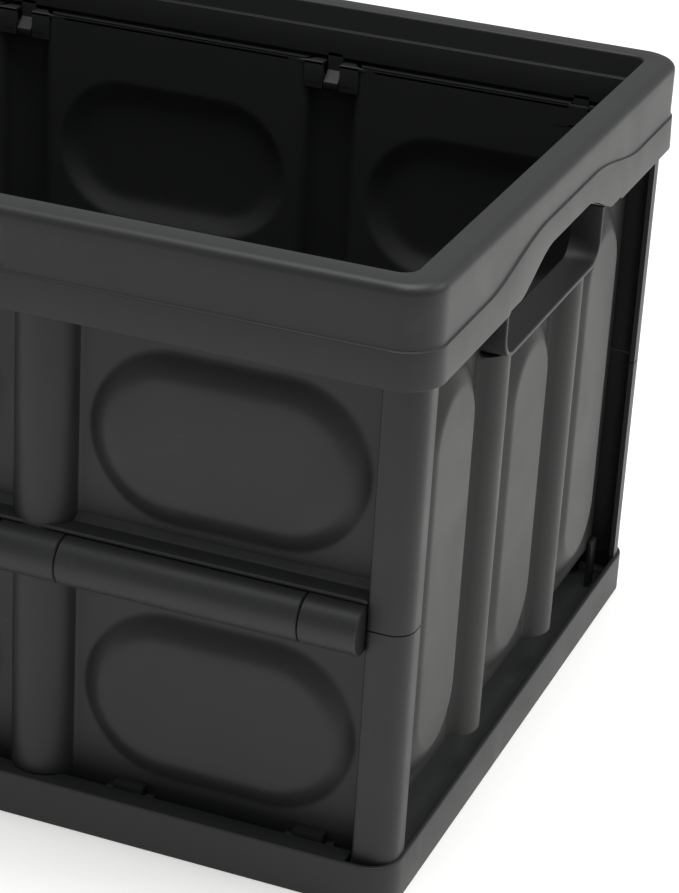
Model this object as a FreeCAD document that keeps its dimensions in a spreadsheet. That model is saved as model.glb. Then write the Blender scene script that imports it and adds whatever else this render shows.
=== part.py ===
import FreeCAD, Part
import math
import os

import Sketcher

# Collapsible storage crate, in millimetres. The origin is at the middle of the underside,
# X runs along the length, Y across the width and Z up.
# A "depth" is measured inward from the outer face of the top frame.

SIZES = [
    # whole crate
    ("length", 522, "top frame, outside"),
    ("width", 352, "top frame, outside"),
    ("height", 285, "whole crate"),
    # top frame
    ("frame_height", 43.5, "top frame, lower edge to top"),
    ("band_height", 16, "flared lower band of the frame"),
    ("band_flare", 1.2, "how far the lower band stands out"),
    ("frame_wall", 2.4, "frame wall thickness"),
    ("frame_top_width", 16, "flat top, outer face to opening"),
    ("frame_corner", 18, "corner radius in plan"),
    ("frame_top_round", 4, "rounding of the outer top edge"),
    ("ledge_drop", 12, "inner ledge below the top"),
    ("ledge_width", 2, "inner ledge"),
    ("inner_wall_drop", 26, "lower edge of the inner wall below the top"),
    ("inner_wall_short_drop", 11, "the same above the end panels"),
    ("opening_corner", 7, "corner radius of the opening in plan"),
    # hand opening
    ("grip_half_width", 66, "half of the hand opening"),
    ("grip_arch_rise", 14.5, "arch in the frame above its lower edge"),
    ("grip_depth", 25.5, "hand opening below the frame's lower edge"),
    ("grip_corner", 10, "lower corners of the hand opening"),
    ("grip_lip_depth", 4.5, "depth of the lip's outer edge"),
    # base tray
    ("base_inset", 3, "depth of the tray's outer face"),
    ("base_height", 20.5, "tray rim"),
    ("base_wall", 2.6, "tray rim thickness"),
    ("base_corner", 15, "corner radius in plan"),
    ("curb_drop", 1, "top of the hinge curb below the rim"),
    ("curb_wall", 2, "hinge curb thickness"),
    ("floor_bottom", 3, "underside of the floor"),
    ("floor_wall", 2.4, "floor thickness"),
    ("rib_width", 3, "ribs below the floor"),
    ("rib_rise", 1, "lower edge of the ribs above the underside"),
    ("stop_height", 31, "top of the end panel stops"),
    ("stop_width", 8, "end panel stops"),
    ("stop_wall", 2.5, "end panel stops, along the length"),
    # side halves
    ("side_wall", 2.4, "wall of the side halves"),
    ("inner_face", 23.3, "depth of the inner face of the sides"),
    ("column_face", 8.5, "depth of the face of the columns and posts"),
    ("column_width", 30, "half-round columns"),
    ("column_place", 86, "columns from the middle"),
    ("post_width", 18.5, "corner posts"),
    ("post_depth", 4.5, "depth of the posts' end face"),
    ("post_corner", 9, "outer corner of the posts"),
    ("top_gap", 2, "upper halves to the frame's inner wall"),
    ("oval_reach", 6.4, "bulge of the ovals out of the wall"),
    ("oval_slope", 40, "slope of the bulge"),
    ("oval_margin", 5, "oval to column"),
    ("oval_height", 78, "ovals of the sides"),
    ("oval_centre", 59, "oval centres from the mid hinge"),
    ("oval_flat", 1, "straight part left between an oval's end arcs"),
    ("slope_wall", 0.9, "wall on an oval's slope, as a share of the flat wall"),
    # hinges of the sides
    ("mid_depth", 8, "mid hinge axis"),
    ("pivot_depth", 19.5, "base and frame hinge axes"),
    ("base_pivot", 14, "base hinge axis above the underside"),
    ("frame_pivot", 4.5, "frame hinge axis above the frame's lower edge"),
    ("barrel_radius", 11, "mid hinge knuckles"),
    ("end_barrel", 25.5, "outermost mid knuckle"),
    ("hinge_ledge_depth", 9, "depth of the edge of the ledge above the mid hinge"),
    ("hinge_ledge_wall", 1.8, "ledge above the mid hinge"),
    ("top_flange_wall", 1.8, "flange along the top of the upper halves"),
    ("column_cap", 8, "height of the plate across the top of a column"),
    ("knuckle_radius", 3.8, "base, frame and end knuckles"),
    ("knuckle_width", 14, "base hinge knuckles of the sides"),
    ("lug_width", 8, "frame lugs"),
    ("station_inset", 23, "outer hinge stations from the posts"),
    ("station_offset", 44, "inner base hinge stations from the columns"),
    ("rod_inset", 1, "ends of the long rods from the posts"),
    # hinge rods
    ("mid_rod", 4, "mid hinge rod diameter"),
    ("rod", 3, "other rod diameters"),
    ("running_gap", 0.06, "radial clearance of a rod in its bore"),
    ("side_gap", 0.5, "gap between neighbouring knuckles"),
    ("seam_gap", 0.6, "gap between the halves"),
    # end panels
    ("end_depth", 17, "depth of the end panel's outer face"),
    ("end_wall", 2.2, "end panel wall"),
    ("end_pivot_depth", 19, "end hinge axis"),
    ("end_pivot_drop", 19, "end hinge axis below the top"),
    ("end_foot", 27, "lower edge of the end panels"),
    ("end_gap", 1, "end panel to the sides"),
    ("end_reach", 5.5, "bulge of the end panel's ovals"),
    ("end_slope", 64, "slope of the end ovals"),
    ("end_column_reach", 9.8, "bulge of the end panel's columns"),
    ("end_column_place", 52, "end columns from the middle"),
    ("end_column_width", 26, "end columns"),
    ("end_oval_gap", 4, "end ovals to the end columns"),
    ("end_oval_inset", 14.7, "outer end ovals from the panel's edge"),
    ("end_corner", 3, "corners of the end panels"),
    ("end_oval_foot", 6, "end ovals above the panel's lower edge"),
    ("end_oval_top", 226, "top of the outer end ovals"),
    ("end_station_inset", 39.7, "end hinge stations from the panel's edge"),
    # modelling
    ("overlap", 0.2, "how far a piece is sunk into what it joins"),
    ("overshoot", 1, "how far a cut runs past a face"),
]

doc = FreeCAD.newDocument("StorageCrate")
sheet = doc.addObject("Spreadsheet::Sheet", "Sizes")
for row, (alias, number, note) in enumerate(SIZES, start=1):
    sheet.set("A%d" % row, str(number))
    sheet.setAlias("A%d" % row, alias)
    sheet.set("B%d" % row, note)
doc.recompute()

# Places that several pieces share, written once as expressions of the sheet.
SHARED = {
    "frame_low": "(height - frame_height)",
    "frame_step": "(height - frame_height + band_height)",
    "frame_axis": "(height - frame_height + frame_pivot)",
    "mid_axis": "((base_pivot + height - frame_height + frame_pivot) / 2)",
    "inner_wall_low": "(height - inner_wall_drop)",
    "end_axis": "(height - end_pivot_drop)",
    "wall_face": "(inner_face - side_wall)",
    "floor_top": "(floor_bottom + floor_wall)",
    "foot_height": "(base_height + side_gap)",
    "post_out": "(length / 2 - post_depth)",
    "post_in": "(length / 2 - post_depth - post_width)",
    "post_station": "(length / 2 - post_depth - post_width - station_inset)",
    "mid_station": "(column_place + station_offset)",
    "sagitta": "(inner_face - side_wall - column_face)",
    "end_edge": "(width / 2 - inner_face - end_gap)",
    "end_station": "(width / 2 - inner_face - end_gap - end_station_inset)",
    "end_oval_near": "(end_column_place + end_column_width / 2 + end_oval_gap)",
    "end_oval_far": "(width / 2 - inner_face - end_gap - end_oval_inset)",
    "rib_pitch": "(length / 9)",
}


def bind(words):
    """Turns plain sheet words into an expression that FreeCAD can bind."""
    text = str(words)
    for name in sorted(SHARED, key=len, reverse=True):
        text = replace_word(text, name, SHARED[name])
    for alias, _, _ in SIZES:
        text = replace_word(text, alias, "Sizes." + alias)
    return text


def replace_word(text, word, new):
    """Replaces whole words only, and not one that already follows a dot."""
    out = ""
    place = 0
    while True:
        at = text.find(word, place)
        if at < 0:
            return out + text[place:]
        before = text[at - 1] if at else " "
        after = text[at + len(word)] if at + len(word) < len(text) else " "
        whole = not (before.isalnum() or before in "_.") and not (after.isalnum() or after == "_")
        out += text[place:at] + (new if whole else word)
        place = at + len(word)


def value(words):
    """The number that an expression has now."""
    result = sheet.evalExpression(bind(words))
    return float(getattr(result, "Value", result))


def new_body(label):
    """A body whose label names its file."""
    body = doc.addObject("PartDesign::Body", label)
    body.Label = label
    return body


def place(item, spots, turn=0):
    """Binds the parts of a placement that are given, with a turn about Z in degrees."""
    item.Placement = FreeCAD.Placement(
        FreeCAD.Vector(0, 0, 0), FreeCAD.Rotation(FreeCAD.Vector(0, 0, 1), turn)
    )
    for axis, words in spots.items():
        item.setExpression("Placement.Base." + axis, bind(words))


def new_sketch(body, name, role, offset="0"):
    """A sketch on one of the body's own origin planes, moved along its normal."""
    plane = [f for f in body.Origin.OriginFeatures if f.Role == role][0]
    sketch = body.newObject("Sketcher::SketchObject", name)
    sketch.AttachmentSupport = [(plane, "")]
    sketch.MapMode = "FlatFace"
    sketch.setExpression("AttachmentOffset.Base.z", bind(offset))
    return sketch


def fix(sketch, kind, geometry, point, words):
    """Dimensions one coordinate of a point from the sketch's origin."""
    index = sketch.addConstraint(
        Sketcher.Constraint(kind, -1, 1, geometry, point, value(words))
    )
    sketch.setExpression("Constraints[%d]" % index, bind(words))


def draw(sketch, points):
    """Draws one closed outline. A point is (x, y), or (x, y, centre x, centre y, direction)
    where an arc ends there and passes its centre's side at that direction in degrees."""
    spots = [(value(p[0]), value(p[1])) for p in points]
    ends = []
    for n, point in enumerate(points):
        start = FreeCAD.Vector(*spots[n - 1], 0)
        finish = FreeCAD.Vector(*spots[n], 0)
        if len(point) == 2:
            index = sketch.addGeometry(Part.LineSegment(start, finish), False)
            ends.append((index, 1, 2))
            continue
        centre = FreeCAD.Vector(value(point[2]), value(point[3]), 0)
        radius = centre.distanceToPoint(finish)
        angle = math.radians(point[4])
        middle = centre + FreeCAD.Vector(math.cos(angle), math.sin(angle), 0) * radius
        turn = (middle - start).cross(finish - middle).z
        first, last = (start, finish) if turn > 0 else (finish, start)
        index = sketch.addGeometry(Part.Arc(first, middle, last), False)
        ends.append((index, 1, 2) if turn > 0 else (index, 2, 1))
        wide = abs(finish.x - start.x) >= abs(finish.y - start.y)
        kind, words = ("DistanceY", point[3]) if wide else ("DistanceX", point[2])
        fix(sketch, kind, index, 3, words)
    for n, point in enumerate(points):
        index, _, last = ends[n]
        after, first, _ = ends[(n + 1) % len(points)]
        sketch.addConstraint(Sketcher.Constraint("Coincident", index, last, after, first))
        fix(sketch, "DistanceX", index, last, point[0])
        fix(sketch, "DistanceY", index, last, point[1])


def rounded(x0, x1, y0, y1, radius):
    """The outline of a rectangle with round corners."""
    left, right = "(%s) + (%s)" % (x0, radius), "(%s) - (%s)" % (x1, radius)
    low, high = "(%s) + (%s)" % (y0, radius), "(%s) - (%s)" % (y1, radius)
    return [
        (right, y0),
        (x1, low, right, low, 315),
        (x1, high),
        (right, y1, right, high, 45),
        (left, y1),
        (x0, high, left, high, 135),
        (x0, low),
        (left, y0, left, low, 225),
    ]


def box(x0, x1, y0, y1):
    """The outline of a plain rectangle."""
    return [(x0, y0), (x1, y0), (x1, y1), (x0, y1)]


def circle(sketch, x, y, radius):
    """A circle with its centre and radius dimensioned."""
    centre = FreeCAD.Vector(value(x), value(y), 0)
    round_edge = Part.Circle(centre, FreeCAD.Vector(0, 0, 1), value(radius))
    index = sketch.addGeometry(round_edge, False)
    fix(sketch, "DistanceX", index, 3, x)
    fix(sketch, "DistanceY", index, 3, y)
    size = sketch.addConstraint(Sketcher.Constraint("Radius", index, value(radius)))
    sketch.setExpression("Constraints[%d]" % size, bind(radius))


def grow(body, sketch, length, reverse=False, taper="0"):
    """Pads a sketch."""
    pad = body.newObject("PartDesign::Pad", sketch.Name + "_pad")
    pad.Profile = sketch
    pad.Reversed = reverse
    pad.setExpression("Length", bind(length))
    if taper != "0":
        pad.setExpression("TaperAngle", bind(taper))
    doc.recompute()
    return pad


def cut(body, sketch, length, reverse=False, taper="0"):
    """Pockets a sketch, and stops if nothing came off."""
    before = body.Shape.Volume
    pocket = body.newObject("PartDesign::Pocket", sketch.Name + "_pocket")
    pocket.Profile = sketch
    pocket.Reversed = reverse
    pocket.setExpression("Length", bind(length))
    if taper != "0":
        pocket.setExpression("TaperAngle", bind(taper))
    doc.recompute()
    if body.Shape.Volume > before - 0.5:
        raise RuntimeError(pocket.Name + " cut nothing")
    return pocket


def slab(body, name, points, low, high, adds=True):
    """A plan outline raised from low to high, or cut out between them."""
    sketch = new_sketch(body, name, "XY_Plane", low)
    draw(sketch, points)
    length = "(%s) - (%s)" % (high, low)
    return grow(body, sketch, length) if adds else cut(body, sketch, length, True)


def across(body, name, points, start, width, adds=True):
    """An outline in depth and height, carried along X from start."""
    sketch = new_sketch(body, name, "YZ_Plane", start)
    draw(sketch, points)
    return grow(body, sketch, width) if adds else cut(body, sketch, width, True)


def bore(body, name, depth, level, radius, half_length):
    """A hole along X right through."""
    sketch = new_sketch(body, name, "YZ_Plane", "-(%s)" % half_length)
    circle(sketch, depth, level, radius)
    return cut(body, sketch, "2 * (%s)" % half_length, True)


def knuckle(depth, level, upward, reach):
    """Outline of a small knuckle with an arm that goes up or down by reach."""
    left, right = "(%s) - knuckle_radius" % depth, "(%s) + knuckle_radius" % depth
    sign, side = ("+", 270) if upward else ("-", 90)
    far = "(%s) %s (%s)" % (level, sign, reach)
    return [(left, far), (right, far), (right, level), (left, level, depth, level, side)]


def corrugation():
    """Plan outline of a side wall: posts at both ends, half-round columns between."""
    column_radius = "((column_width / 2) ^ 2 + sagitta ^ 2) / (2 * sagitta)"
    centre = "column_face + " + column_radius
    hollow = "(%s - side_wall)" % column_radius
    chord = "sqrt(%s ^ 2 - (%s - inner_face) ^ 2)" % (hollow, centre)
    outside = [
        ("post_out", "inner_face"),
        ("post_out", "column_face + post_corner"),
        (
            "post_out - post_corner",
            "column_face",
            "post_out - post_corner",
            "column_face + post_corner",
            315,
        ),
        ("post_in", "column_face"),
        ("post_in", "wall_face"),
        ("column_place + column_width / 2", "wall_face"),
        ("column_place - column_width / 2", "wall_face", "column_place", centre, 270),
    ]
    inside = [
        ("column_place - " + chord, "inner_face"),
        ("column_place + " + chord, "inner_face", "column_place", centre, 270),
        ("post_in + side_wall", "inner_face"),
        ("post_in + side_wall", "column_face + side_wall"),
        ("post_out - post_corner", "column_face + side_wall"),
        (
            "post_out - side_wall",
            "column_face + post_corner",
            "post_out - post_corner",
            "column_face + post_corner",
            315,
        ),
        ("post_out - side_wall", "inner_face"),
    ]
    return outside + mirrored(outside) + mirrored(inside) + inside


def mirrored(points):
    """The same run of points on the other side of X = 0, in the opposite order."""
    result = []
    for n in range(len(points) - 1, -1, -1):
        x, y = "-(%s)" % points[n][0], points[n][1]
        arc = points[n + 1] if n + 1 < len(points) else ()
        if len(arc) == 5:
            result.append((x, y, "-(%s)" % arc[2], arc[3], (180 - arc[4]) % 360))
        else:
            result.append((x, y))
    return result


def side_ovals(body, level):
    """Three hollow stadium bulges in the wall, centred on the given level."""
    middle_half = "column_place - column_width / 2 - oval_margin"
    outer_left = "column_place + column_width / 2 + oval_margin"
    bays = [
        ("-(%s)" % middle_half, middle_half),
        (outer_left, "post_in - oval_margin"),
        ("oval_margin - post_in", "-(%s)" % outer_left),
    ]
    half = "oval_height / 2"
    low, high = "%s - %s" % (level, half), "%s + %s" % (level, half)
    corner = "(%s - oval_flat / 2)" % half
    skin = new_sketch(body, "oval_skin", "XZ_Plane", "-wall_face - overlap")
    for left, right in bays:
        draw(skin, rounded(left, right, low, high, corner))
    grow(body, skin, "oval_reach + overlap", taper="-oval_slope")
    shell = "side_wall * slope_wall"
    hollow = new_sketch(body, "oval_hollow", "XZ_Plane", "-inner_face")
    for left, right in bays:
        draw(
            hollow,
            rounded(
                "(%s) + %s" % (left, shell),
                "(%s) - %s" % (right, shell),
                "(%s) + %s" % (low, shell),
                "(%s) - %s" % (high, shell),
                "%s - %s" % (corner, shell),
            ),
        )
    cut(body, hollow, "oval_reach", True, "-oval_slope")


def barrel(body, name, start, width, upper):
    """One mid hinge knuckle of the upper or the lower half, with its arm to the wall."""
    sign, opposite, side = ("+", "-", 225) if upper else ("-", "+", 135)
    edge = "mid_axis %s seam_gap / 2" % sign
    far = "mid_axis %s barrel_radius" % sign
    inner = "wall_face + side_wall / 2"
    near = "mid_depth + barrel_radius"
    points = [
        (inner, edge),
        (inner, far),
        ("mid_depth", far),
        (near, "mid_axis", "mid_depth", "mid_axis", side),
        (near, edge),
    ]
    across(body, name, points, start, width)


def lower_half(label):
    """Lower half of a long side."""
    body = new_body(label)
    slab(body, "wall", corrugation(), "foot_height", "mid_axis - seam_gap / 2")
    clear = "barrel_radius + side_gap"
    for side, sign in (("left", "-"), ("right", "")):
        start = "%scolumn_place - column_width / 2 - side_gap" % sign
        sketch = new_sketch(body, side + "_column_relief", "YZ_Plane", start)
        circle(sketch, "mid_depth", "mid_axis", clear)
        cut(body, sketch, "column_width + 2 * side_gap", True)
    side_ovals(body, "mid_axis - oval_centre")
    inner = "column_place - column_width / 2 - side_gap"
    outer = "column_place + column_width / 2 + side_gap"
    reach = "post_in - end_barrel - 2 * side_gap - (%s)" % outer
    barrel(body, "middle_barrel", "-(%s)" % inner, "2 * (%s)" % inner, False)
    barrel(body, "right_barrel", outer, reach, False)
    barrel(body, "left_barrel", "-(%s) - (%s)" % (outer, reach), reach, False)
    for n, station in enumerate(base_stations()):
        outline = knuckle("pivot_depth", "base_pivot", True, "foot_height - base_pivot + overshoot")
        start = "%s - knuckle_width / 2" % station
        across(body, "foot_knuckle_%d" % n, outline, start, "knuckle_width")
    bore(body, "mid_bore", "mid_depth", "mid_axis", "mid_rod / 2 + running_gap", "length / 2")
    bore(body, "foot_bore", "pivot_depth", "base_pivot", "rod / 2 + running_gap", "length / 2")
    return body


def upper_half(label):
    """Upper half of a long side."""
    body = new_body(label)
    top = "inner_wall_low - top_gap"
    slab(body, "wall", corrugation(), "mid_axis + seam_gap / 2", top)
    side_ovals(body, "mid_axis + oval_centre")
    width = "column_width"
    barrel(body, "left_column_barrel", "-column_place - column_width / 2", width, True)
    barrel(body, "right_column_barrel", "column_place - column_width / 2", width, True)
    barrel(body, "right_end_barrel", "post_in - end_barrel - side_gap", "end_barrel", True)
    barrel(body, "left_end_barrel", "side_gap - post_in", "end_barrel", True)
    ledge_low = "mid_axis + barrel_radius + side_gap"
    ledge = box("hinge_ledge_depth", "inner_face", ledge_low, ledge_low + " + hinge_ledge_wall")
    across(body, "hinge_ledge", ledge, "-post_in", "2 * post_in")
    flange = box("pivot_depth - knuckle_radius", "inner_face", "%s - top_flange_wall" % top, top)
    across(body, "top_flange", flange, "-post_in", "2 * post_in")
    cap = box("wall_face", "inner_face", "%s - column_cap" % top, top)
    for column, sign in (("left", "-"), ("right", "")):
        start = "%scolumn_place - column_width / 2" % sign
        across(body, column + "_column_cap", cap, start, "column_width")
    cheek = "knuckle_width / 2"
    for n, station in enumerate(frame_stations()):
        outline = knuckle("pivot_depth", "frame_axis", False, "2 * knuckle_radius")
        for m, start in enumerate(
            (
                "%s - lug_width / 2 - side_gap - %s" % (station, cheek),
                "%s + lug_width / 2 + side_gap" % station,
            )
        ):
            across(body, "top_knuckle_%d_%d" % (n, m), outline, start, cheek)
    lug_notches(body, top)
    bore(body, "mid_bore", "mid_depth", "mid_axis", "mid_rod / 2 + running_gap", "length / 2")
    bore(body, "top_bore", "pivot_depth", "frame_axis", "rod / 2 + running_gap", "length / 2")
    return body


def lug_notches(body, top):
    """Slots in the top of an upper half for the frame's lugs."""
    slots = new_sketch(body, "lug_notches", "XY_Plane", "frame_axis - knuckle_radius - side_gap")
    reach = "(lug_width / 2 + side_gap)"
    near, far = "pivot_depth - knuckle_radius - side_gap", "inner_face + overshoot"
    for station in frame_stations():
        draw(slots, box("%s - %s" % (station, reach), "%s + %s" % (station, reach), near, far))
    cut(body, slots, "%s - frame_axis + knuckle_radius + side_gap" % top, True)


def base_stations():
    """Places along X of the side halves' foot knuckles."""
    return ["-post_station", "-mid_station", "0", "mid_station", "post_station"]


def frame_stations():
    """Places along X of the frame's lugs on the long sides."""
    return ["-post_station", "-column_place", "column_place", "post_station"]


def end_stations():
    """Places along the width of the end panels' hinges."""
    return ["-end_station", "end_station"]


def inset(depth, corner):
    """Plan outline of the crate at a depth."""
    half_x, half_y = "(length / 2 - (%s))" % depth, "(width / 2 - (%s))" % depth
    return rounded("-" + half_x, half_x, "-" + half_y, half_y, corner)


def base_tray():
    """Tray with a rim, a raised floor, ribs below it, hinge lugs and end stops."""
    body = new_body("base_tray")
    slab(body, "block", inset("base_inset", "base_corner"), "0", "base_height")
    hollow = inset("base_inset + base_wall", "base_corner - base_wall")
    slab(body, "tray_hollow", hollow, "floor_top", "base_height", adds=False)
    under = inset("base_inset + 2 * base_wall", "base_corner - 2 * base_wall")
    slab(body, "under_hollow", under, "0", "floor_bottom", adds=False)
    half = "(width / 2 - base_inset - base_wall)"
    rib = new_sketch(body, "rib", "XY_Plane", "rib_rise")
    first = "(-4 * rib_pitch)"
    draw(rib, box(first + " - rib_width / 2", first + " + rib_width / 2", "-" + half, half))
    ribs_along(body, grow(body, rib, "floor_bottom - rib_rise + overlap"))
    for side, sign in (("front", "-"), ("back", "")):
        for n, station in enumerate(base_stations()):
            for m, start in enumerate(
                (
                    "%s - knuckle_width / 2 - side_gap - lug_width / 2" % station,
                    "%s + knuckle_width / 2 + side_gap" % station,
                )
            ):
                centre = "%s(width / 2 - pivot_depth)" % sign
                reach = "base_pivot - floor_top + overlap"
                outline = knuckle(centre, "base_pivot", False, reach)
                across(body, "%s_lug_%d_%d" % (side, n, m), outline, start, "lug_width / 2")
    for side, sign in (("front", "-"), ("back", "")):
        curb(body, side, sign)
    for side, sign in (("front", "-"), ("back", "")):
        centre = "%s(width / 2 - pivot_depth)" % sign
        name = side + "_lug_bore"
        bore(body, name, centre, "base_pivot", "rod / 2 + running_gap", "post_in")
    stops(body)
    return body


def curb(body, side, sign):
    """Curb between the rim and the base hinge of a long side: a top plate and a web."""
    near = "%s(width / 2 - base_inset - base_wall + overlap)" % sign
    far = "%s(width / 2 - pivot_depth + knuckle_radius + side_gap)" % sign
    web = "%s(width / 2 - pivot_depth + knuckle_radius + side_gap + curb_wall)" % sign
    high = "(base_height - curb_drop)"
    reach = "(length / 2 - base_inset - base_corner)"
    plate = box(near, far, "%s - curb_wall" % high, high)
    across(body, side + "_curb_plate", plate, "-" + reach, "2 * " + reach)
    upright = box(web, far, "floor_top - overlap", high)
    across(body, side + "_curb_web", upright, "-" + reach, "2 * " + reach)


def ribs_along(body, rib):
    """Repeats the first rib along the tray."""
    axis = [f for f in body.Origin.OriginFeatures if f.Role == "X_Axis"][0]
    pattern = body.newObject("PartDesign::LinearPattern", "ribs")
    pattern.Originals = [rib]
    pattern.Direction = (axis, [""])
    pattern.setExpression("Length", bind("8 * rib_pitch"))
    pattern.Occurrences = 9
    body.Tip = pattern
    doc.recompute()


def stops(body):
    """Tabs on the floor that stop the end panels from swinging outward."""
    inner = "(length / 2 - end_depth + side_gap)"
    outer = "(length / 2 - end_depth + side_gap + stop_wall)"
    centre = "(end_edge - stop_width / 2)"
    for side, sign in (("left", "-"), ("right", "")):
        x0, x1 = ("-" + outer, "-" + inner) if sign else (inner, outer)
        for n, middle in enumerate(("-" + centre, centre)):
            outline = box(x0, x1, middle + " - stop_width / 2", middle + " + stop_width / 2")
            slab(body, "%s_stop_%d" % (side, n), outline, "floor_top - overlap", "stop_height")


def top_frame():
    """Inverted channel all round, with an inner wall, an arch at each end and hinge lugs."""
    body = new_body("top_frame")
    slab(body, "lower_band", inset("0", "frame_corner"), "frame_low", "frame_step")
    upper = inset("band_flare", "frame_corner - band_flare")
    slab(body, "upper_band", upper, "frame_step - overlap", "height")
    round_top(body)
    wall = "band_flare + frame_wall"
    low_hollow = inset(wall, "frame_corner - " + wall.replace("+", "-"))
    slab(body, "low_hollow", low_hollow, "frame_low", "inner_wall_low", adds=False)
    opening = inset("frame_top_width + ledge_width", "opening_corner - ledge_width / 2")
    slab(body, "opening", opening, "inner_wall_low - overshoot", "height", adds=False)
    mouth = inset("frame_top_width", "opening_corner")
    slab(body, "mouth", mouth, "height - ledge_drop", "height", adds=False)
    channel = new_sketch(body, "channel", "XY_Plane", "inner_wall_low - overshoot")
    draw(channel, low_hollow)
    draw(channel, inset("frame_top_width - frame_wall", "opening_corner + frame_wall"))
    cut(body, channel, "inner_wall_drop + overshoot - frame_wall", True)
    for side, sign in (("left", "-"), ("right", "")):
        short_side_cut(body, side, sign)
    arch(body)
    for side, sign in (("front", "-"), ("back", "")):
        long_side_lugs(body, side, sign)
    for side, sign in (("left", "-"), ("right", "")):
        short_side_lugs(body, side, sign)
    return body


def round_top(body):
    """Rounds the outer top edge."""
    top = value("height")
    edges = [
        "Edge%d" % (n + 1)
        for n, edge in enumerate(body.Shape.Edges)
        if all(abs(v.Z - top) < 0.01 for v in edge.Vertexes)
    ]
    solid = body.Tip
    fillet = body.newObject("PartDesign::Fillet", "top_round")
    fillet.Base = (solid, edges)
    fillet.setExpression("Radius", bind("frame_top_round"))
    doc.recompute()


def short_side_cut(body, side, sign):
    """Shortens the inner wall above an end panel so that the panel can swing."""
    outer = "(length / 2 - frame_top_width + frame_wall + overshoot)"
    inner = "(length / 2 - frame_top_width - ledge_width - overshoot)"
    x0, x1 = ("-" + outer, "-" + inner) if sign else (inner, outer)
    half = "(width / 2 - inner_face)"
    outline = box(x0, x1, "-" + half, half)
    high = "height - inner_wall_short_drop"
    slab(body, side + "_wall_cut", outline, "inner_wall_low - overshoot", high, adds=False)


def arch(body):
    """Arches in the outer band above the hand openings."""
    half, rise = "(grip_half_width)", "grip_arch_rise"
    crown = "frame_low + " + rise
    spring = "frame_low - overshoot"
    sketch = new_sketch(body, "arch", "YZ_Plane", "-length / 2 - overshoot")
    radius = "((%s ^ 2 + %s ^ 2) / (2 * %s))" % (half, rise, rise)
    centre = "(%s - %s)" % (crown, radius)
    reach = "sqrt(%s ^ 2 - (%s - %s) ^ 2)" % (radius, centre, spring)
    draw(sketch, [(reach, spring), ("-" + reach, spring, "0", centre, 90)])
    cut(body, sketch, "length + 2 * overshoot", True)


def long_side_lugs(body, side, sign):
    """Lugs for the upper halves, hung from the inner wall of a long side."""
    centre = "%s(width / 2 - pivot_depth)" % sign
    half = "lug_width / 2"
    for n, station in enumerate(frame_stations()):
        start = "%s - %s" % (station, half)
        outline = knuckle(centre, "frame_axis", True, "inner_wall_low + frame_wall - frame_axis")
        across(body, "%s_lug_%d" % (side, n), outline, start, "lug_width")
    name = side + "_lug_bore"
    bore(body, name, centre, "frame_axis", "rod / 2 + running_gap", "post_in")


def short_side_lugs(body, side, sign):
    """Lugs for an end panel, hung from the inner wall of a short side."""
    x = "%s(length / 2 - end_pivot_depth)" % sign
    high = "height - inner_wall_short_drop + overshoot"
    outer = "(length / 2 - frame_top_width + frame_wall)"
    inner = "(length / 2 - end_pivot_depth - knuckle_radius)"
    x0, x1 = ("-" + outer, "-" + inner) if sign else (inner, outer)
    for n, station in enumerate(end_stations()):
        near_face = "-(%s) - lug_width / 2" % station
        sketch = new_sketch(body, "%s_lug_%d" % (side, n), "XZ_Plane", near_face)
        draw(sketch, knuckle(x, "end_axis", True, "%s - end_axis" % high))
        grow(body, sketch, "lug_width")
        web = new_sketch(body, "%s_web_%d" % (side, n), "XZ_Plane", near_face)
        draw(web, box(x0, x1, "end_axis + knuckle_radius + overlap", high))
        grow(body, web, "lug_width")
    hole = new_sketch(body, side + "_end_bore", "XZ_Plane", "-end_edge")
    circle(hole, x, "end_axis", "rod / 2 + running_gap")
    cut(body, hole, "2 * end_edge", True)


def end_panel(label):
    """End panel: ovals and half columns, a hand opening with a lip, and hinge knuckles."""
    body = new_body(label)
    top = "end_axis - knuckle_radius - side_gap"
    face = new_sketch(body, "sheet", "XZ_Plane", "-end_depth - end_wall")
    draw(face, rounded("-end_edge", "end_edge", "end_foot", top, "end_corner"))
    grow(body, face, "end_wall")
    end_relief(body)
    lip(body)
    for n, station in enumerate(end_stations()):
        outline = knuckle("end_pivot_depth", "end_axis", False, "2 * knuckle_radius")
        for m, start in enumerate(
            (
                "%s - lug_width / 2 - side_gap - knuckle_width" % station,
                "%s + lug_width / 2 + side_gap" % station,
            )
        ):
            across(body, "top_knuckle_%d_%d" % (n, m), outline, start, "knuckle_width")
    bore(body, "hinge_bore", "end_pivot_depth", "end_axis", "rod / 2 + running_gap", "end_edge")
    return body


def end_relief(body):
    """Hollow ovals and columns of an end panel."""
    low = "end_foot + end_oval_foot"
    under_grip = "frame_low - grip_depth - 2 * end_wall - end_oval_gap"
    middle_half = "(end_column_place - end_column_width / 2 - end_oval_gap)"
    ovals = [
        ("-end_oval_far", "-end_oval_near", "end_oval_top"),
        ("-" + middle_half, middle_half, under_grip),
        ("end_oval_near", "end_oval_far", "end_oval_top"),
    ]
    skin = new_sketch(body, "oval_skin", "XZ_Plane", "-end_depth - overlap")
    shell = "end_wall * slope_wall"
    hollow = new_sketch(body, "oval_hollow", "XZ_Plane", "-end_depth - end_wall")
    for left, right, high in ovals:
        corner = "((%s) - (%s) - oval_flat) / 2" % (right, left)
        draw(skin, rounded(left, right, low, high, corner))
        draw(
            hollow,
            rounded(
                "%s + %s" % (left, shell),
                "%s - %s" % (right, shell),
                "%s + %s" % (low, shell),
                "%s - %s" % (high, shell),
                "%s - %s" % (corner, shell),
            ),
        )
    grow(body, skin, "end_reach + overlap", taper="-end_slope")
    cut(body, hollow, "end_reach", True, "-end_slope")
    end_columns(body)


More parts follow.
